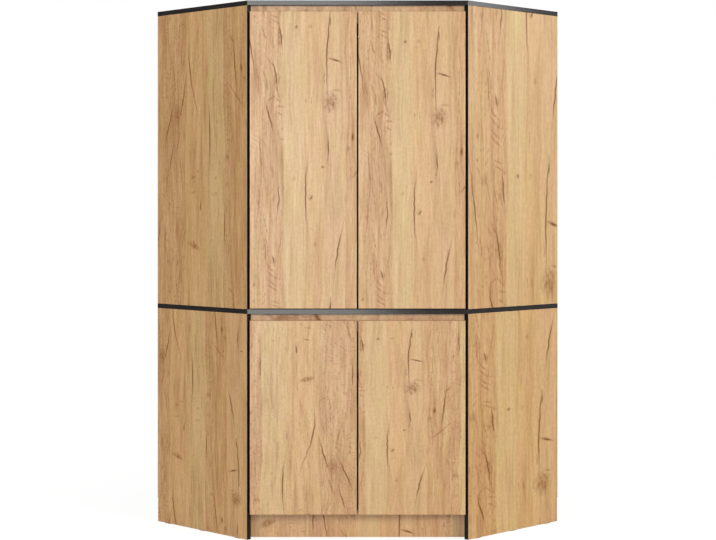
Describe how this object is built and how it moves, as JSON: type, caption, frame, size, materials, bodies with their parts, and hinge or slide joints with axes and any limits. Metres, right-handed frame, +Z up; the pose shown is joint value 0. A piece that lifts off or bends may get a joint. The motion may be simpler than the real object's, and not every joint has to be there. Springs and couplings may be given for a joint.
{
  "type": "corner wardrobe",
  "caption": "Pentagonal corner wardrobe with handle-free doors set across the corner, a hanging space above, shelved storage below and black divider boards.",
  "frame": {"origin": "on the floor, under the middle of the outline", "axes": "+Z up, the doors face -Y, the room's corner is at +Y, X runs along the doors"},
  "size_m": [1.5698, 1.1726, 2],
  "materials": {
    "oak_laminate": "printed oak decor with a light wood grain, satin",
    "black_laminate": "black laminate, satin",
    "black_edging": "black edge band, satin",
    "hardboard": "thin hard fibre sheet, smooth lacquered face",
    "nickel_steel": "pressed steel, nickel plated",
    "chromed_tube": "steel tube, chromed",
    "black_plastic": "moulded plastic, matt",
    "clear_rubber": "soft moulded bumper, milky"
  },
  "bodies": {
    "carcass": {"lower_left_side": "oak_laminate", "lower_right_side": "oak_laminate", "upper_left_side": "oak_laminate", "upper_right_side": "oak_laminate", "base_panel": "oak_laminate", "lower_shelf": "oak_laminate", "lower_front_rail": "oak_laminate", "upper_front_rail": "oak_laminate", "plinth_board": "oak_laminate", "lower_left_post": "oak_laminate", "lower_right_post": "oak_laminate", "upper_left_post": "oak_laminate", "upper_right_post": "oak_laminate", "corner_legs": "oak_laminate", "middle_panel": "black_laminate", "top_panel": "black_laminate", "side_edge_bands": "black_edging", "lower_left_back": "hardboard", "lower_right_back": "hardboard", "upper_left_back": "hardboard", "upper_right_back": "hardboard", "hinge_arms": "nickel_steel", "hinge_plates": "nickel_steel", "wall_brackets": "nickel_steel", "shelf_brackets": "nickel_steel", "rail_hangers": "nickel_steel", "hanging_rail": "chromed_tube", "rail_end_caps": "black_plastic", "floor_glides": "black_plastic", "door_bumpers": "clear_rubber"},
    "upper_left_door": {"upper_left_door": "oak_laminate", "upper_left_hinge_cups": "nickel_steel", "upper_left_hinge_pins": "nickel_steel"},
    "upper_right_door": {"upper_right_door": "oak_laminate", "upper_right_hinge_cups": "nickel_steel", "upper_right_hinge_pins": "nickel_steel"},
    "lower_left_door": {"lower_left_door": "oak_laminate", "lower_left_hinge_cups": "nickel_steel", "lower_left_hinge_pins": "nickel_steel"},
    "lower_right_door": {"lower_right_door": "oak_laminate", "lower_right_hinge_cups": "nickel_steel", "lower_right_hinge_pins": "nickel_steel"}
  },
  "joints": [
    {"name": "upper_left_door_swing", "type": "hinge", "parent": "carcass", "child": "upper_left_door", "pos_m": [-0.38921, -0.57678, 1.4085], "axis": [0, 0, -1], "range_deg": [0, 95]},
    {"name": "upper_right_door_swing", "type": "hinge", "parent": "carcass", "child": "upper_right_door", "pos_m": [0.38921, -0.57678, 1.4085], "axis": [0, 0, 1], "range_deg": [0, 95]},
    {"name": "lower_left_door_swing", "type": "hinge", "parent": "carcass", "child": "lower_left_door", "pos_m": [-0.38921, -0.57678, 0.4555], "axis": [0, 0, -1], "range_deg": [0, 95]},
    {"name": "lower_right_door_swing", "type": "hinge", "parent": "carcass", "child": "lower_right_door", "pos_m": [0.38921, -0.57678, 0.4555], "axis": [0, 0, 1], "range_deg": [0, 95]}
  ]
}
